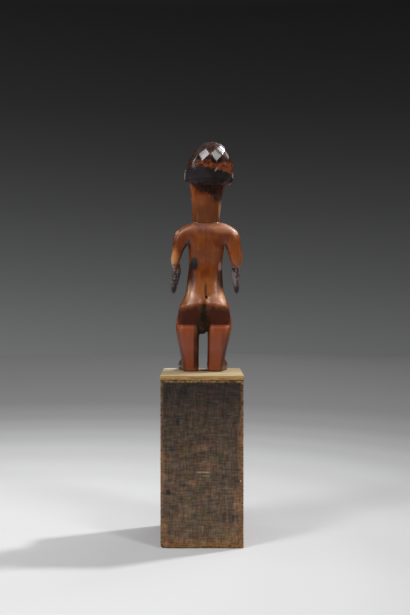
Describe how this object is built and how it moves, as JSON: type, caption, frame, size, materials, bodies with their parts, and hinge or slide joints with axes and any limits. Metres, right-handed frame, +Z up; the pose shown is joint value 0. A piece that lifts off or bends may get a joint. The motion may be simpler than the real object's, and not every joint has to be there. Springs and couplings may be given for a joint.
{
  "type": "ancestor figure",
  "caption": "Carved wooden ancestor figure: a standing man with a faceted cap of hair, bent arms and flexed legs, on a tall stained wooden plinth with a pale top board.",
  "frame": {"origin": "middle of the plinth's underside", "axes": "+Z up along the plinth and the figure; the figure faces -Y, with its own left arm on the +X side"},
  "size_m": [0.0534, 0.0528, 0.2605],
  "materials": {
    "figure_wood": "hand-polished reddish-brown wood with a glossy, nearly black patina on the cap, hands and feet",
    "board_wood": "bare pale wood, satin",
    "block_wood": "coarse sawn wood under a worn dark stain, rubbed to orange-brown along its edges, matt"
  },
  "bodies": {
    "root": {"carved_figure": "figure_wood", "plinth_board": "board_wood", "plinth_block": "block_wood"}
  },
  "joints": []
}
